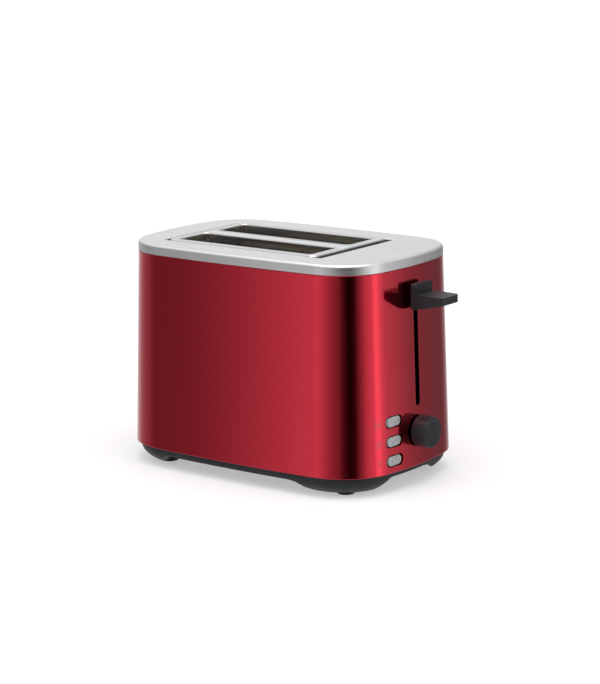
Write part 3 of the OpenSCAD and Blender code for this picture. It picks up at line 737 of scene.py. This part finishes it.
FOOT_Z = 2.5 * MM
GAP_Z = 10.5 * MM
ARCH_Z = 12.6 * MM  # underside in the middle of the two ends
FLOOR_Z = 12 * MM
FLOOR_THICK = 1.9 * MM
BODY_STEPS = (12, 30, 12)
FOOT_PLACES = [(x, y) for x in (-89 * MM, 96 * MM) for y in (-55.5 * MM, 55.5 * MM)]
SCREW_PLACES = [(x, y) for x in (-96.7 * MM, 70.5 * MM) for y in (-34 * MM, 34 * MM)]
SCREW_HOLE_RADIUS = 3.6 * MM
FOOT_RADIUS = 7.6 * MM
FOOT_ROOM = 0.1 * MM  # gap round a foot in its hole
FOOT_HOLE_TOP = 3.9 * MM
CURL_DEPTH = 20 * MM  # inset of PLAN_INNER
RAIL_STRETCHES = ((-118 * MM, -91 * MM), (-87 * MM, 59 * MM))  # behind and before the rear end plate
RAIL_Y = 44 * MM
RAIL_HALF = 1 * MM
RAIL_TOP = 21.8 * MM


def arch(x, y):
    """How much of the end arches' rise holds at a place: 1 in the middle of an end, 0 away from it."""
    return smooth_step(104 * MM, 112 * MM, abs(x - MID_X)) * (1 - smooth_step(32 * MM, 42 * MM, abs(y)))


def underside(x, y):
    """Height of the base's underside: low at the four corner feet, higher between them."""
    forward = x - MID_X
    lobe = smooth_step(58 * MM, 74 * MM, forward) + smooth_step(74 * MM, 86 * MM, -forward)
    foot = lobe * smooth_step(32 * MM, 48 * MM, abs(y))
    return GAP_Z + (FOOT_Z - GAP_Z) * foot + (ARCH_Z - GAP_Z) * arch(x, y) * (1 - foot)


def inner_floor(x, y):
    return FLOOR_Z + (ARCH_Z + FLOOR_THICK - FLOOR_Z) * arch(x, y)


def curl(z):
    """How far the base's side is in from the shell's face at height z: it curls in towards its feet."""
    return 3.6 * MM + 10 * MM * max(0.0, (BASE_Z - z) / (BASE_Z - FOOT_Z)) ** 2.6


PLAN_OUTER = body_loop(0, 0, BODY_STEPS)
PLAN_INNER = body_loop(0, CURL_DEPTH, BODY_STEPS)


def ring_point(index, z):
    """Point of the base's side on plan line number index at height z."""
    outer, inner = PLAN_OUTER[index], PLAN_INNER[index]
    share = curl(z) / CURL_DEPTH
    return Vector((outer.x + (inner.x - outer.x) * share, outer.y + (inner.y - outer.y) * share, z))


def base_ring(share):
    """Ring of points on the base's side, share of the way from its upper to its lower edge."""
    return [ring_point(index, BASE_Z + (underside(p.x, p.y) - BASE_Z) * share)
            for index, p in enumerate(PLAN_OUTER)]


def shrunk(loop, scale, height):
    """Loop scaled towards the middle of the body, with its points at height(x, y)."""
    places = [(MID_X + (p.x - MID_X) * scale, p.y * scale) for p in loop]
    return [Vector((x, y, height(x, y))) for x, y in places]


def base():
    """Moulded tray. Its wall curls in to the feet, its underside rises between them, and its lip stands
    inside the shell."""
    lip_top, ledge_top = BASE_Z + 4.8 * MM, BASE_Z + 1.2 * MM
    rings = 26
    floor_edge = body_loop(FLOOR_Z, 6.6 * MM, BODY_STEPS)
    floor = [shrunk(floor_edge, (i + 1) / rings, inner_floor) for i in range(rings)]
    wall = [(ledge_top, 5.6 * MM), (ledge_top, 3.2 * MM), (lip_top, 3.2 * MM), (lip_top, 1.6 * MM),
            (BASE_Z, 1.5 * MM)]
    inner = [body_loop(z, inset, BODY_STEPS) for z, inset in wall]
    side = [base_ring(i / 16) for i in range(17)]
    under = [shrunk(side[-1], 1 - i / rings, underside) for i in range(1, rings)]
    bm = bmesh.new()
    rows = loft(bm, floor + inner + side + under)
    bm.faces.new(rows[0])
    bm.faces.new(rows[-1])
    piece = piece_of("base", "black_base", bm, 50)
    screw_hole = circle_outline(SCREW_HOLE_RADIUS, 32)
    foot_hole = circle_outline(FOOT_RADIUS + FOOT_ROOM, 48)
    cutters = [prism_along_z(screw_hole, MID_X + x, y, -1 * MM, GAP_Z) for x, y in SCREW_PLACES]
    cutters += [prism_along_z(foot_hole, MID_X + x, y, -1 * MM, FOOT_HOLE_TOP) for x, y in FOOT_PLACES]
    cut(piece, cutters)
    piece.data.shade_smooth()
    piece.data.set_sharp_from_angle(angle=math.radians(45))
    for side_sign in (-1, 1):
        rail(side_sign)
    return piece


def rail(side):
    """Rail on the base's floor that carries one edge of the crumb tray, with a break for the end plate."""
    bm = bmesh.new()
    for start, stop in RAIL_STRETCHES:
        plan = [(start, -RAIL_HALF), (stop, -RAIL_HALF), (stop, RAIL_HALF), (start, RAIL_HALF)]
        join(bm, prism_along_z(plan, MID_X, side * RAIL_Y, FLOOR_Z, RAIL_TOP))
    name = "tray_rail_left" if side < 0 else "tray_rail_right"
    piece = finish_mesh(name, bm, MATERIALS["black_plastic"], "root")
    round_edges(piece, 0.3 * MM)


# ---------------------------------------------------------------- turned and moulded pieces

def rubber_feet():
    foot_top = high("rubber_feet", 2)
    radius = FOOT_RADIUS
    profile = [(0, 0), (radius - 1.2 * MM, 0), (radius - 0.6 * MM, 0.15 * MM), (radius - 0.15 * MM, 0.6 * MM),
               (radius, 1.2 * MM), (radius, foot_top), (0, foot_top)]
    holder = bmesh.new()
    for x, y in FOOT_PLACES:
        foot = turned(profile, 48)
        bmesh.ops.translate(foot, vec=(MID_X + x, y, 0), verts=foot.verts)
        join(holder, foot)
    return piece_of("rubber_feet", "rubber_feet", holder, 40)


def browning_knob():
    """Plain round knob: rounded front edge, a shallow dish in the face, and a hollow back."""
    knob_low, knob_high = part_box("browning_knob")
    radius = (knob_high.z - knob_low.z) / 2
    depth = knob_high.x - knob_low.x
    dish = 0.35 * MM
    bore = 3.1 * MM
    wall_inside = radius - 1.6 * MM
    profile = [(bore, 9 * MM), (bore, 0.6 * MM), (wall_inside, 0.6 * MM), (wall_inside, 0)]
    profile += [(radius - 0.3 * MM, 0), (radius, 0.3 * MM), (radius - 0.15 * MM, depth * 0.5)]
    profile += fillet(1.1 * MM, radius - 0.35 * MM, depth)
    profile += [(radius - 2.3 * MM, depth), (radius - 2.7 * MM, depth - 0.12 * MM)]
    profile += [(radius - 3.1 * MM, depth - dish), (radius * 0.5, depth - dish), (0, depth - dish)]
    bm = turned(profile, 96)
    along_x(bm, knob_low.x, 0, KNOB_Z)
    return piece_of("browning_knob", "browning_knob", bm, 40, recalc=False)


def button(node):
    """Long cap with round ends and a slightly domed face, on a stem."""
    cap_low, cap_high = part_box(node)
    z = button_z(node)
    root_x = MID_X + 121 * MM  # where the cap ends and its stem begins
    radius = 0.9 * MM
    sections = [(root_x, 0.0), (cap_high.x - radius, 0.0)]
    sections += [(cap_high.x - 0.25 * MM - radius * (1 - math.sin(t)), radius * (1 - math.cos(t)))
                 for t in quarter_turn(5)[1:]]
    sections += [(cap_high.x - 0.12 * MM, 2.0 * MM), (cap_high.x - 0.03 * MM, 3.2 * MM)]
    sections.append((cap_high.x, 4.3 * MM))
    bm = bmesh.new()
    rows = []
    for x, inset in sections:
        outline = pill(BUTTON_HALF_W - inset, BUTTON_HALF_H - inset, 16)
        rows.append([bm.verts.new((x, BUTTON_Y + u, z + v)) for u, v in outline])
    for a, b in zip(rows, rows[1:]):
        bridge(bm, a, b)
    bm.faces.new(rows[0])
    bm.faces.new(rows[-1])
    stem_radius, stem_length = 2.2 * MM, root_x - cap_low.x
    stem = turned([(0, 0), (stem_radius, 0), (stem_radius, stem_length), (0, stem_length)], 24)
    along_x(stem, cap_low.x, BUTTON_Y, z)
    join(bm, stem)
    return piece_of(node, node + "_cap", bm, 35)


def lever_knob():
    """Upright plate with a tongue that gets thinner towards its rounded tip, all with soft edges."""
    knob_low, knob_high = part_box("lever_knob")
    plate = 4.7 * MM
    back, tip = knob_low.x, knob_high.x
    half = (knob_high.y - knob_low.y) / 2
    front = back + plate
    mid_z = (knob_low.z + knob_high.z) / 2
    tongue_top = 161.3 * MM
    tip_low = tongue_top - 6.8 * MM
    tip_drop = 0.6 * MM
    corner = 3.5 * MM
    plate_outline = box_outline(half, (knob_high.z - knob_low.z) / 2, 2.2 * MM)
    plate_bm = prism_along_x(plate_outline, back, front, 0, mid_z)
    piece = piece_of("lever_knob", "lever_knob", plate_bm, 30)
    tongue = bmesh.new()
    outline = [(front - 1.5 * MM, -half)]
    for i in range(9):
        t = math.radians(-90 + 90 * i / 8)
        outline.append((tip - corner + corner * math.cos(t), -half + corner + corner * math.sin(t)))
    outline += [(x, -y) for x, y in outline[::-1]]
    top_row, low_row = [], []
    for x, y in outline:
        share = max(0.0, (x - front) / (tip - front))
        top_row.append(tongue.verts.new((x, y, tongue_top - tip_drop * share)))
        low_row.append(tongue.verts.new((x, y, knob_low.z + 0.02 * MM + (tip_low - knob_low.z) * share)))
    bridge(tongue, low_row, top_row)
    tongue.faces.new(top_row)
    tongue.faces.new(low_row)
    bmesh.ops.recalc_face_normals(tongue, faces=tongue.faces)
    combine(piece, tongue, "UNION")
    round_edges(piece, 0.8 * MM, 25, 4)
    return piece


STRIP_BACK = 0.45 * MM  # gap between the shell and the back of the tray's plate


def rear_strip(half, section, taper=0.0):
    """Closed strip that follows the bowed rear end. section gives heights and insets, and taper draws the
    strip's ends in."""
    steps = 36
    bm = bmesh.new()
    rows = []
    for i in range(steps + 1):
        y = -half + 2 * half * i / steps
        edge = 1 - taper * (1 - smooth_step(0, 5 * MM, half - abs(y)))
        row = []
        for z, inset in section:
            inner = lean(z) - STRIP_BACK
            row.append(bm.verts.new(rear_point(y, z, inner + (inset - inner) * edge)))
        rows.append(row)
    for a, b in zip(rows, rows[1:]):
        bridge(bm, a, b)
    bm.faces.new(rows[0])
    bm.faces.new(rows[-1])
    bmesh.ops.recalc_face_normals(bm, faces=bm.faces)
    return bm


def tray_handle():
    """Thin plate over the tray's opening, with a pull that is drawn outwards at its middle height."""
    handle_low, handle_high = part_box("tray_handle")
    low_z, high_z = handle_low.z, handle_high.z
    half = (handle_high.y - handle_low.y) / 2
    pull_half = 33 * MM
    reach = 7 * MM
    face = 1.6 * MM  # how far the plate's face stands out of the shell
    plate = [(low_z, lean(low_z) - STRIP_BACK), (low_z, lean(low_z) - face),
             (high_z, lean(high_z) - face), (high_z, lean(high_z) - STRIP_BACK)]
    underneath = [(0.3 * MM, reach - 2.4 * MM), (0.8 * MM, reach - 1.4 * MM), (2 * MM, reach - 0.4 * MM),
                  (5 * MM, reach), (8 * MM, reach - 1 * MM)]
    pull = [(low_z + 0.3 * MM, -1.2 * MM)] + [(low_z + up, -out) for up, out in underneath]
    pull += [(high_z - 1.6 * MM, -2.8 * MM), (high_z - 0.8 * MM, -1.2 * MM)]
    piece = piece_of("tray_handle", "tray_handle", rear_strip(half, plate), 40)
    combine(piece, rear_strip(pull_half, pull, 0.38), "UNION")
    round_edges(piece, 0.5 * MM, 35, 3)
    return piece


def cord_gland():
    """Rubber bush with a flange on each side of the shell, and a bore for the cord."""
    gland_low, gland_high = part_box("cord_gland")
    bore = 3.5 * MM
    length = gland_high.x - gland_low.x
    flange, neck, inner = 8.5 * MM, 5.9 * MM, 8 * MM
    groove_low, groove_high = 1.9 * MM, length - 2.2 * MM
    bore_end = (bore, length - 0.3 * MM)
    profile = [bore_end, (bore, 0.5 * MM), (bore + 0.5 * MM, 0), (flange - 1.0 * MM, 0)]
    profile += [(flange - 0.3 * MM, 0.3 * MM), (flange, 1.0 * MM), (flange, groove_low), (neck, groove_low)]
    profile += [(neck, groove_high), (inner, groove_high), (inner, length), (bore + 0.3 * MM, length)]
    profile.append(bore_end)
    bm = turned(profile, 48)
    along_x(bm, gland_low.x, 0, GLAND_Z)
    return piece_of("cord_gland", "cord_gland", bm, 40)


def lift_springs():
    """Two extension springs that hang from the top bracket and hold the carriage up."""
    spring_low, spring_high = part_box("lift_springs")
    wire = 0.6 * MM
    centre_x = (spring_low.x + spring_high.x) / 2
    centre_y = 11 * MM
    coil = spring_high.y - centre_y - wire
    turns, steps, sides = 13, 24, 8
    start, rise = spring_low.z + wire, spring_high.z - spring_low.z - 2 * wire
    bm = bmesh.new()
    for side in (-1, 1):
        rows = []
        for i in range(turns * steps + 1):
            t = 2 * math.pi * i / steps
            out = Vector((math.cos(t), math.sin(t), 0))
            middle = Vector((centre_x, side * centre_y, start + rise * i / (turns * steps))) + coil * out
            rows.append([bm.verts.new(middle + wire * (math.cos(a) * out + math.sin(a) * Vector((0, 0, 1))))
                         for a in (2 * math.pi * k / sides for k in range(sides))])
        for a, b in zip(rows, rows[1:]):
            bridge(bm, a, b)
        bm.faces.new(rows[0])
        bm.faces.new(rows[-1])
    bmesh.ops.recalc_face_normals(bm, faces=bm.faces)
    mesh = bpy.data.meshes.new("lift_springs")
    bm.to_mesh(mesh)
    bm.free()
    mesh.materials.append(MATERIALS[SLOT_OF["lift_springs"]])
    mesh.shade_smooth()
    piece = bpy.data.objects.new("coil_springs", mesh)
    bpy.context.scene.collection.objects.link(piece)
    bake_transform(piece)
    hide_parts("lift_springs")
    return piece


# ---------------------------------------------------------------- generic marks beside the buttons

def stroke(bm, start, end, width=0.4 * MM):
    """Thin printed line on the lever end, from one (Y, Z) place to another."""
    along = Vector((end[0] - start[0], end[1] - start[1]))
    side = Vector((-along.y, along.x)).normalized() * width / 2
    steps = 4
    previous = None
    for i in range(steps + 1):
        y, z = start[0] + along.x * i / steps, start[1] + along.y * i / steps
        pair = [bm.verts.new(front_point(y + s * side.x, z + s * side.y, 0.03 * MM)) for s in (-1, 1)]
        if previous:
            bm.faces.new((previous[0], pair[0], pair[1], previous[1]))
        previous = pair


def box_mark(bm, y, z, half):
    corners = [(y - half, z - half), (y + half, z - half), (y + half, z + half), (y - half, z + half)]
    for a, b in zip(corners, corners[1:] + corners[:1]):
        stroke(bm, a, b)


def button_marks():
    """Plain marks: a slice with rays, a slice with a star, and a bar, one beside each button."""
    bm = bmesh.new()
    y = BUTTON_Y - 17.5 * MM
    half = 2.6 * MM
    ray = 1.2 * MM
    reheat, defrost, cancel = (button_z(node) for node in BUTTONS)
    box_mark(bm, y, reheat, half)
    for offset in (-ray, 0, ray):
        stroke(bm, (y + offset, reheat - ray), (y + offset, reheat + ray))
    box_mark(bm, y, defrost, half)
    for turn in (0, 60, 120):
        way = Vector((math.cos(math.radians(turn)), math.sin(math.radians(turn)))) * 1.6 * MM
        stroke(bm, (y - way.x, defrost - way.y), (y + way.x, defrost + way.y))
    stroke(bm, (y, cancel - 2.0 * MM), (y, cancel + 2.0 * MM), 1.0 * MM)
    stroke(bm, (y - 2.2 * MM, cancel + 2.4 * MM), (y + 2.2 * MM, cancel + 2.4 * MM))
    return finish_mesh("button_marks", bm, MATERIALS["print"], "root", recalc=False)


# ---------------------------------------------------------------- studio

STUDIO_STOPS = (
    # heading in degrees from +X towards +Y, brightness seen by level reflections
    (-180, 0.45), (-152, 0.33), (-143, 0.24), (-135, 0.20), (-131, 0.26), (-127, 0.41), (-122, 0.65),
    (-119, 0.86), (-108, 0.88), (-100, 0.76), (-90, 0.58), (-78, 0.38), (-66, 0.28), (-56, 0.08), (-44, 0.0),
    (-32, 0.03), (-20, 0.34), (-6, 0.80), (7, 1.00), (11, 1.50), (15, 1.66), (20, 1.45), (26, 1.05),
    (36, 0.80), (44, 0.56), (52, 0.35), (60, 0.26), (72, 0.20), (90, 0.30), (126, 1.10),
    (180, 0.45))
STUDIO_PEAK = 1.66
FLOOR_GLOW = 0.62
CEILING_GLOW = 0.95
BACKDROP = 1.0


def studio_world():
    """Soft studio: brightness changes smoothly with heading, over a pale floor and under a pale ceiling."""
    world = bpy.data.worlds.new("studio")
    bpy.context.scene.world = world
    world.use_nodes = True
    tree = world.node_tree
    tree.nodes.clear()

    def add(kind, **settings):
        node = tree.nodes.new(kind)
        for key, value in settings.items():
            setattr(node, key, value)
        return node

    def link(out, into):
        tree.links.new(out, into)

    def smooth_rise(value, low_in, high_in):
        node = add("ShaderNodeMapRange", interpolation_type="SMOOTHSTEP")
        node.inputs["From Min"].default_value = low_in
        node.inputs["From Max"].default_value = high_in
        link(value, node.inputs["Value"])
        return node.outputs["Result"]

    def mix(factor, low_value, high_value):
        node = add("ShaderNodeMix", data_type="FLOAT")
        link(factor, node.inputs["Factor"])
        for key, value in (("A", low_value), ("B", high_value)):
            if isinstance(value, float):
                node.inputs[key].default_value = value
            else:
                link(value, node.inputs[key])
        return node.outputs["Result"]

    way = add("ShaderNodeSeparateXYZ")
    link(add("ShaderNodeTexCoord").outputs["Generated"], way.inputs[0])
    heading = add("ShaderNodeMath", operation="ARCTAN2")
    link(way.outputs["Y"], heading.inputs[0])
    link(way.outputs["X"], heading.inputs[1])
    share = add("ShaderNodeMapRange")
    share.inputs["From Min"].default_value = -math.pi
    share.inputs["From Max"].default_value = math.pi
    link(heading.outputs[0], share.inputs["Value"])
    ramp = add("ShaderNodeValToRGB")
    ramp.color_ramp.interpolation = "LINEAR"
    elements = ramp.color_ramp.elements
    while len(elements) < len(STUDIO_STOPS):
        elements.new(0.5)
    for element, (degrees, glow) in zip(elements, STUDIO_STOPS):
        element.position = (degrees + 180) / 360
        level = glow / STUDIO_PEAK
        element.color = (level, level, level, 1)
    link(share.outputs["Result"], ramp.inputs["Fac"])
    peak = add("ShaderNodeMath", operation="MULTIPLY")
    peak.inputs[1].default_value = STUDIO_PEAK
    link(ramp.outputs["Color"], peak.inputs[0])
    level = mix(smooth_rise(way.outputs["Z"], -0.50, -0.24), FLOOR_GLOW, peak.outputs[0])
    level = mix(smooth_rise(way.outputs["Z"], 0.25, 0.60), level, CEILING_GLOW)
    level = mix(add("ShaderNodeLightPath").outputs["Is Camera Ray"], level, BACKDROP)
    background = add("ShaderNodeBackground")
    link(level, background.inputs["Strength"])
    link(background.outputs[0], add("ShaderNodeOutputWorld").inputs["Surface"])


def area_light(name, place, aim, size, power):
    light = bpy.data.lights.new(name, "AREA")
    light.shape = "DISK"
    light.size = size
    light.energy = power
    lamp = bpy.data.objects.new(name, light)
    lamp.location = place
    lamp.rotation_euler = (Vector(aim) - Vector(place)).to_track_quat("-Z", "Y").to_euler()
    bpy.context.scene.collection.objects.link(lamp)
    return lamp


def pale_floor():
    """Large square, left out of mirror reflections, which see the studio's own floor instead."""
    bm = bmesh.new()
    half = 6.0
    corners = ((-half, -half, 0), (half, -half, 0), (half, half, 0), (-half, half, 0))
    bm.faces.new([bm.verts.new(p) for p in corners])
    mesh = bpy.data.meshes.new("floor")
    bm.to_mesh(mesh)
    bm.free()
    mesh.materials.append(floor_paint())
    floor = bpy.data.objects.new("floor", mesh)
    floor.visible_glossy = False
    bpy.context.scene.collection.objects.link(floor)


CAMERA_AZIMUTH = math.radians(36.72)
CAMERA_ELEVATION = math.radians(12.37)
CAMERA_ROLL = math.radians(-0.657)
CAMERA_DISTANCE = 1.954
CAMERA_LENS = 121.39
CAMERA_SHIFT = (0.0140, 0.00756)
CAMERA_AIM_Z = 0.0995


def camera():
    a, e = CAMERA_AZIMUTH, CAMERA_ELEVATION
    back = Vector((math.sin(a) * math.cos(e), -math.cos(a) * math.cos(e), math.sin(e)))
    right = Vector((math.cos(a), math.sin(a), 0))
    up = back.cross(right)
    c, s = math.cos(CAMERA_ROLL), math.sin(CAMERA_ROLL)
    right, up = right * c + up * s, up * c - right * s
    data = bpy.data.cameras.new("camera")
    data.lens = CAMERA_LENS
    data.sensor_width = 36
    data.shift_x, data.shift_y = CAMERA_SHIFT
    data.clip_start = 0.05
    data.clip_end = 50
    data.dof.use_dof = False
    eye = bpy.data.objects.new("camera", data)
    place = Vector((MID_X, 0, CAMERA_AIM_Z)) + back * CAMERA_DISTANCE
    eye.matrix_world = Matrix((
        (right.x, up.x, back.x, place.x), (right.y, up.y, back.y, place.y), (right.z, up.z, back.z, place.z),
        (0, 0, 0, 1)))
    bpy.context.scene.collection.objects.link(eye)
    bpy.context.scene.camera = eye


# ---------------------------------------------------------------- run

dress_cad_nodes()
outer_shell()
top_cover()
slot_frame()
base()
rubber_feet()
lever_knob()
browning_knob()
for name in BUTTONS:
    button(name)
tray_handle()
cord_gland()
lift_springs()
button_marks()
studio_world()
area_light("overhead_softbox", (0.2, -0.3, 1.6), (0, 0, 0.1), 1.6, 14)
pale_floor()
camera()
bpy.context.scene.view_settings.view_transform = "Standard"
